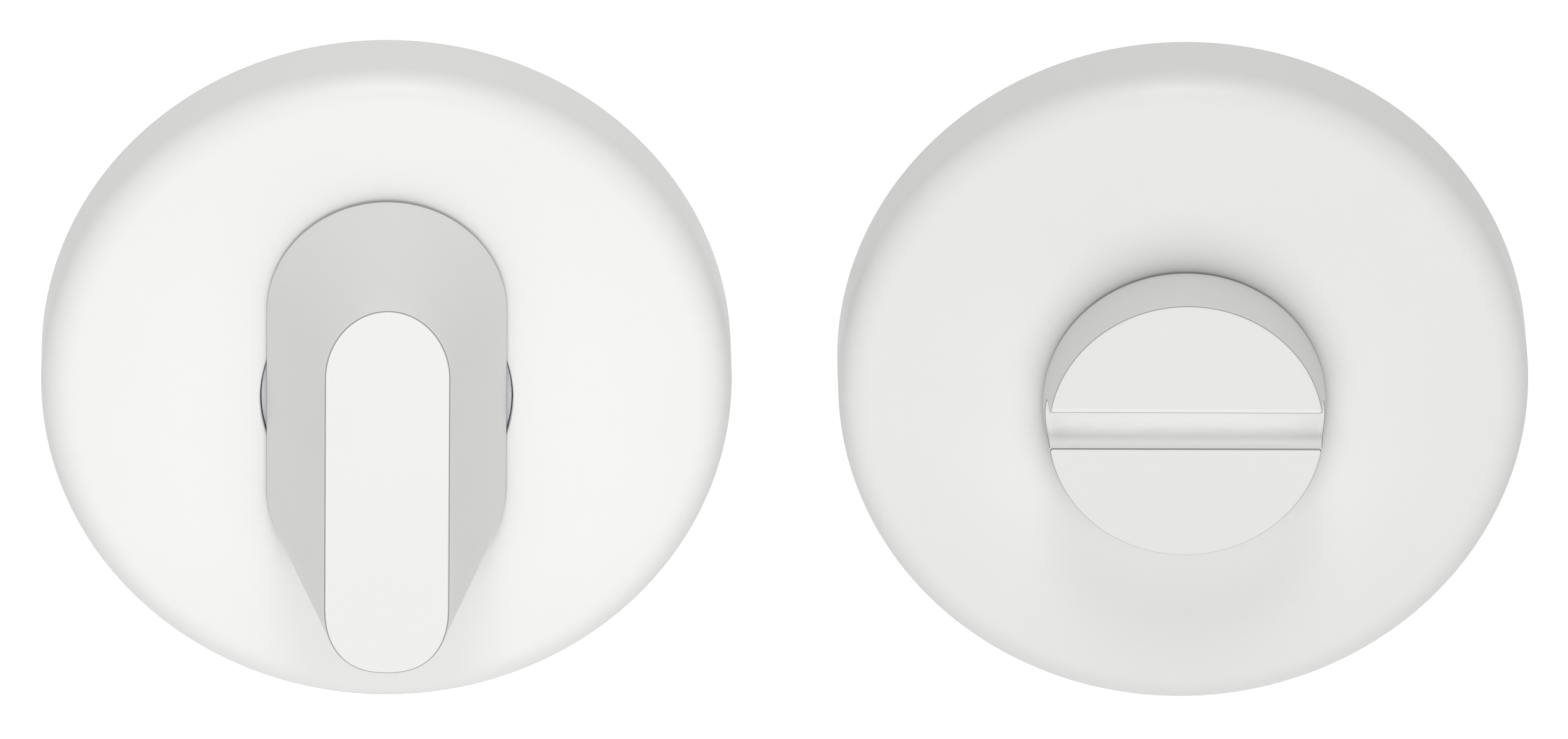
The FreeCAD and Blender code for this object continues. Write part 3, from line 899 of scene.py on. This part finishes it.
# %% [markdown]
# The coat is painted lighter on the rounding inside a crease, as a painted highlight, and in the
# slot, as painted light. Round the disc, painted shade greys the rose where the disc shades it.
# It thins out within three millimetres beside the disc and within six above it.

# %% Coat the handles and the roses
CONTACT_SHADE_WIDTH, CONTACT_SHADE = 3.0, 0.23                # painted shade beside the disc: width and strength
CONTACT_SHADE_WIDTH_ABOVE, CONTACT_SHADE_ABOVE = 3.2, 0.23    # and what either gains above it


def grip_painted_highlight(paint, x, y, z):
    """Painted highlight on the rounding inside the crease: half at the crease, 0 on the flat face."""
    depth = turn_top - z
    return ((depth - 0.002) / 0.05).at_least(0.0).at_most(1.0) * paint.step(depth, 0.06, 0.01) * 0.5


def disc_painted_light(paint, x, y, z):
    """Painted highlight above the slot and painted light in it, its walls more than its floor."""
    band = paint.step(abs(y - SLOT_HALF - 0.28), 0.12, 0.12) * paint.step(disc_top - z, 0.06, 0.02)
    in_width = paint.step(abs(y), SLOT_HALF + 0.03, 0.04)
    in_depth = paint.step(slot_floor - z, 0.1, 0.05)
    in_length = paint.step(x * x + y * y, DISC_RIM_R ** 2 - 1.0, 1.0)
    floor = paint.step(z, slot_floor + 0.2, 0.4)
    return (band * 0.5).at_least(in_width * in_depth * in_length * (1.0 - floor))


def painted_contact_shade(paint, x, y, z):
    """Painted shade, strength * (1 - distance / width)^2.5 from the foot; both grow towards the top."""
    from_axis = (x * x + y * y).root()
    up = (y / from_axis).at_least(0.0) ** 2.0
    away = (from_axis - DISC_FOOT_R).at_least(0.0) / (up * CONTACT_SHADE_WIDTH_ABOVE + CONTACT_SHADE_WIDTH)
    return (1.0 - away).at_least(0.0) ** 2.5 * (up * CONTACT_SHADE_ABOVE + CONTACT_SHADE)


# Only the release rose gets painted shade round its handle.
ROSE_SHADES = {"turn": None, "release": painted_contact_shade}
for side, cover in covers.items():
    cover.data.materials.append(powder_coat(f"{side}_rose_coat", side, ROSE_SHADES[side]))
grip.data.materials.append(powder_coat("grip_coat", "turn", grip_lines_and_shade, grip_painted_highlight))
disc.data.materials.append(powder_coat("disc_coat", "release", disc_lines_and_shade, disc_painted_light))

# %% [markdown]
# The bush is a turned ring of lilac-grey nylon, of which a thin crescent shows beside the thumb
# turn. A profile with small edge breaks is all it takes.

# %% Bushes
PLATE_Z, BUSH_Z = 2.68, 3.68
BUSH_IN_R, BUSH_OUT_R = 7.052, 9.422
SPIGOT_R, FLANGE_R, FLANGE_TOP = 8.452, 11.622, 5.08
BUSH_ROUNDING = (0.1, 0.1, 0, 0.12, 0.12, 0, 0.08, 0.15)    # corner by corner


def bush(side):
    corners = [
        (BUSH_IN_R, PLATE_Z),
        (SPIGOT_R, PLATE_Z),
        (SPIGOT_R, BUSH_Z),
        (FLANGE_R, BUSH_Z),
        (FLANGE_R, FLANGE_TOP),
        (BUSH_OUT_R, FLANGE_TOP),
        (BUSH_OUT_R, BUSH_TOP),
        (BUSH_IN_R, BUSH_TOP),
    ]
    profile = rounded(corners, BUSH_ROUNDING)
    ring = swung(closed(profile), full_circle(128))
    made = skin_from(f"{side}_bush", [(ring, True, False, False)], SHIFT[side])
    return seat(made, "fixed", f"{side}_bearing")


bushes = [bush(side) for side in SHIFT]

# %% [markdown]
# The spindle is a drawn square bar with soft corners and a bevel at either end. The same formula
# as for the socket gives its rows.

# %% Spindle
SPINDLE_HALF = 4.0
SPINDLE_CORNER = 0.75
SPINDLE_BEVEL = 0.6
SPINDLE_END = ((SPINDLE_BEVEL, 0.0), (0.12, 0.5), (0.0, 0.8))    # inset, and distance from the end


def spindle():
    size = measured("spindle")
    low, high = size["back"], size["front"]
    angles = full_circle(160)
    levels = [(inset, low + away) for inset, away in SPINDLE_END]
    levels += [(inset, high - away) for inset, away in reversed(SPINDLE_END)]
    rows = []
    for inset, z in levels:
        reach = square_reach(angles, SPINDLE_HALF - inset, SPINDLE_CORNER)
        rows.append(level_ring(reach, angles, z))
    made = skin_from("spindle_bar", [(np.stack(rows), True, True, True)], break_angle=38)
    return seat(made, "turn", "spindle")


bar = spindle()

# %% [markdown]
# The set is clamped through the door by two bolts with low heads, whose threads run into sleeves
# on the other side. Each is one skin from end to end: head, neck and thread, or post and threaded
# bore. A cross is cut into the bolt's head for the driver.

# %% Bolts and sleeves
BOLT_PLACES = (-19.0, 19.0)
BOLT_R, NECK_R, HEAD_R = 2.0, 1.75, 3.7
BOLT_LENGTH, THREAD_LENGTH = 35.0, 29.0
HEAD_HEIGHT, HEAD_ROUND = 2.0, 0.5
THREAD_RUN_OUT = 1.2
CROSS = (4.2, 0.9, 1.2)            # length, width and depth of the driver's recess
SLEEVE_R, SLEEVE_BORE_R = 3.0, 1.68
SLEEVE_HEAD, SLEEVE_REACH = 1.0, 14.0


def shifted(rows, x):
    return rows + np.array([x, 0, 0])


def through_bolt(x):
    around = full_circle(40)
    tip = BUSH_Z - BOLT_LENGTH
    neck = tip + THREAD_LENGTH
    head = BUSH_Z + HEAD_HEIGHT
    start = swung([(1.2, tip), (1.5, tip + 0.35)], around)
    thread = thread_rows(around, tip + 0.6, neck, BOLT_R, THREAD_RUN_OUT)
    rest = [(NECK_R, neck + 0.2), (NECK_R, BUSH_Z), (HEAD_R - 0.1, BUSH_Z), (HEAD_R, BUSH_Z + 0.1)]
    rest = np.concatenate([rest, arc((HEAD_R - HEAD_ROUND, head - HEAD_ROUND), HEAD_ROUND, 0, 90, 7)])
    return shifted(np.concatenate([start, thread, swung(rest, around)]), x)


def bar_rows(width, height, low, high):
    corner = np.array([(width, height), (-width, height), (-width, -height), (width, -height)]) / 2
    return np.stack([at_height(corner, low), at_height(corner, high)])


def sleeve(x):
    around = full_circle(40)
    top = BUSH_Z + SLEEVE_HEAD
    bore = thread_rows(around, PLATE_Z, 0.3 - SLEEVE_REACH, SLEEVE_BORE_R + 0.3)
    rest = [(SLEEVE_BORE_R + 0.35, -SLEEVE_REACH), (SLEEVE_R - 0.3, -SLEEVE_REACH),
            (SLEEVE_R, 0.3 - SLEEVE_REACH), (SLEEVE_R, BUSH_Z), (HEAD_R - 0.1, BUSH_Z),
            (HEAD_R, BUSH_Z + 0.1), (HEAD_R, top - 0.25), (HEAD_R - 0.25, top)]
    return shifted(np.concatenate([bore, swung(rest, around)]), x)


def bolts():
    made = skin_from("through_bolt_pair", [(through_bolt(x), True, True, True) for x in BOLT_PLACES])
    length, width, deep = CROSS
    head = BUSH_Z + HEAD_HEIGHT
    for x in BOLT_PLACES:
        for w, h in ((length, width), (width, length)):
            recess = shifted(bar_rows(w, h, head - deep, head + 1), x)
            cut(made, skin_from("recess", [(recess, True, True, True)]))
    return seat(made, "fixed", "through_bolts")


def sleeves():
    sheets = [(sleeve(x), True, True, True) for x in BOLT_PLACES]
    made = skin_from("sleeve_pair", sheets, SHIFT["release"])
    return seat(made, "fixed", "release_sleeves")


bolt_pair, sleeve_pair = bolts(), sleeves()

# %% [markdown]
# The grub screw clamps the grip to the spindle from below. It has the hole's own thread, and a
# hexagon socket whose outline is the reach of a hexagon in each direction.

# %% Grub screw
GRUB_INNER, GRUB_OUTER = 4.02, 14.045    # its two ends, from the spindle's axis
HEX_HALF, HEX_DEEP = 1.0, 2.2


def grub_screw():
    around = full_circle(48)
    thread = thread_rows(around, GRUB_INNER + 0.35, GRUB_OUTER - 0.35, GRUB_R)
    reach = HEX_HALF / np.cos((around + np.pi / 6) % (np.pi / 3) - np.pi / 6)
    rows = np.concatenate([
        swung([(1.0, GRUB_INNER + 0.3), (1.3, GRUB_INNER), (1.65, GRUB_INNER)], around),
        thread,
        swung([(1.55, GRUB_OUTER)], around),
        [level_ring(reach + 0.1, around, GRUB_OUTER), level_ring(reach, around, GRUB_OUTER - 0.1)],
        [level_ring(reach, around, GRUB_OUTER - HEX_DEEP)],
    ])
    made = skin_from("grub_screw", [(to_grub_screw(rows), True, True, True)])
    return seat(made, "turn", "spindle_grub_screw")


screw = grub_screw()

# %% [markdown]
# Behind the roses everything is plain engineering stock: moulded nylon with a fine spark-eroded
# grain, drawn steel under zinc with a slow drift of colour, and blackened steel. Each finish is
# one small function of a base colour and a grain.

# %% Finishes of the inner pieces
def moulded(name, colour, grain_scale):
    """Nylon: a touch of mottle, fine grain in the bump."""
    nylon = material(name)
    position = nylon.place(0.0)[0]
    cloud = nylon.noise(position, 90.0, 3.0)
    shade = tuple(c * 0.93 for c in colour) + (1,)
    grain = nylon.noise(position, grain_scale, 3.0)
    bump = nylon.node("ShaderNodeBump", {}, {"Strength": 0.3, "Distance": 0.00003, "Height": grain})
    base = nylon.blend(cloud, shade, colour + (1,))
    return nylon.surface(Base_Color=base, Roughness=cloud * 0.1 + 0.42, Normal=bump)


def plated(name, colour, drawn, roughness, stretch=(1, 1, 1)):
    """Plated or blackened steel: drawn lines along one direction and a slow drift of colour."""
    steel = material(name)
    position = steel.place(0.0)[0]
    long_way = steel.node("ShaderNodeMapping", {}, {"Vector": position, "Scale": stretch})
    lines = steel.noise(long_way, drawn, 4.0)
    drift = steel.noise(position, 60.0, 2.0)
    warm = tuple(c * f for c, f in zip(colour, (1.02, 0.99, 0.93))) + (1,)
    base = steel.blend(drift, colour + (1,), warm)
    bump = steel.node("ShaderNodeBump", {}, {"Strength": 0.15, "Distance": 0.00002, "Height": lines})
    uneven = lines * 0.22 + roughness - 0.08
    return steel.surface(Base_Color=base, Metallic=0.95, Roughness=uneven, Normal=bump)


nylon_base = moulded("nylon_base", (0.80, 0.80, 0.78), 2500.0)
nylon_bush = moulded("nylon_bush", (0.77, 0.745, 0.81), 3000.0)
zinc_sheet = plated("zinc_sheet", (0.50, 0.51, 0.53), 900.0, 0.32, (1.0, 1.0, 0.05))
zinc_bar = plated("zinc_bar", (0.43, 0.44, 0.46), 1200.0, 0.30, (1.0, 0.04, 1.0))
spring = plated("spring_steel", (0.36, 0.36, 0.37), 1400.0, 0.28)
phosphate = plated("phosphate", (0.07, 0.07, 0.075), 2000.0, 0.50)
black_oxide = plated("black_oxide", (0.05, 0.05, 0.055), 2000.0, 0.42)

for made in bushes:
    made.data.materials.append(nylon_bush)
bar.data.materials.append(zinc_bar)
bolt_pair.data.materials.append(zinc_bar)
sleeve_pair.data.materials.append(zinc_bar)
screw.data.materials.append(black_oxide)

KEPT = {
    "base": nylon_base,
    "plate": zinc_sheet,
    "wave_washer": spring,
    "thrust_washer": spring,
    "circlip": phosphate,
}
for side in SHIFT:
    for kind, finish in KEPT.items():
        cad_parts[f"{side}_{kind}"].material_slots[0].material = finish
print("kept CAD nodes", 2 * len(KEPT))
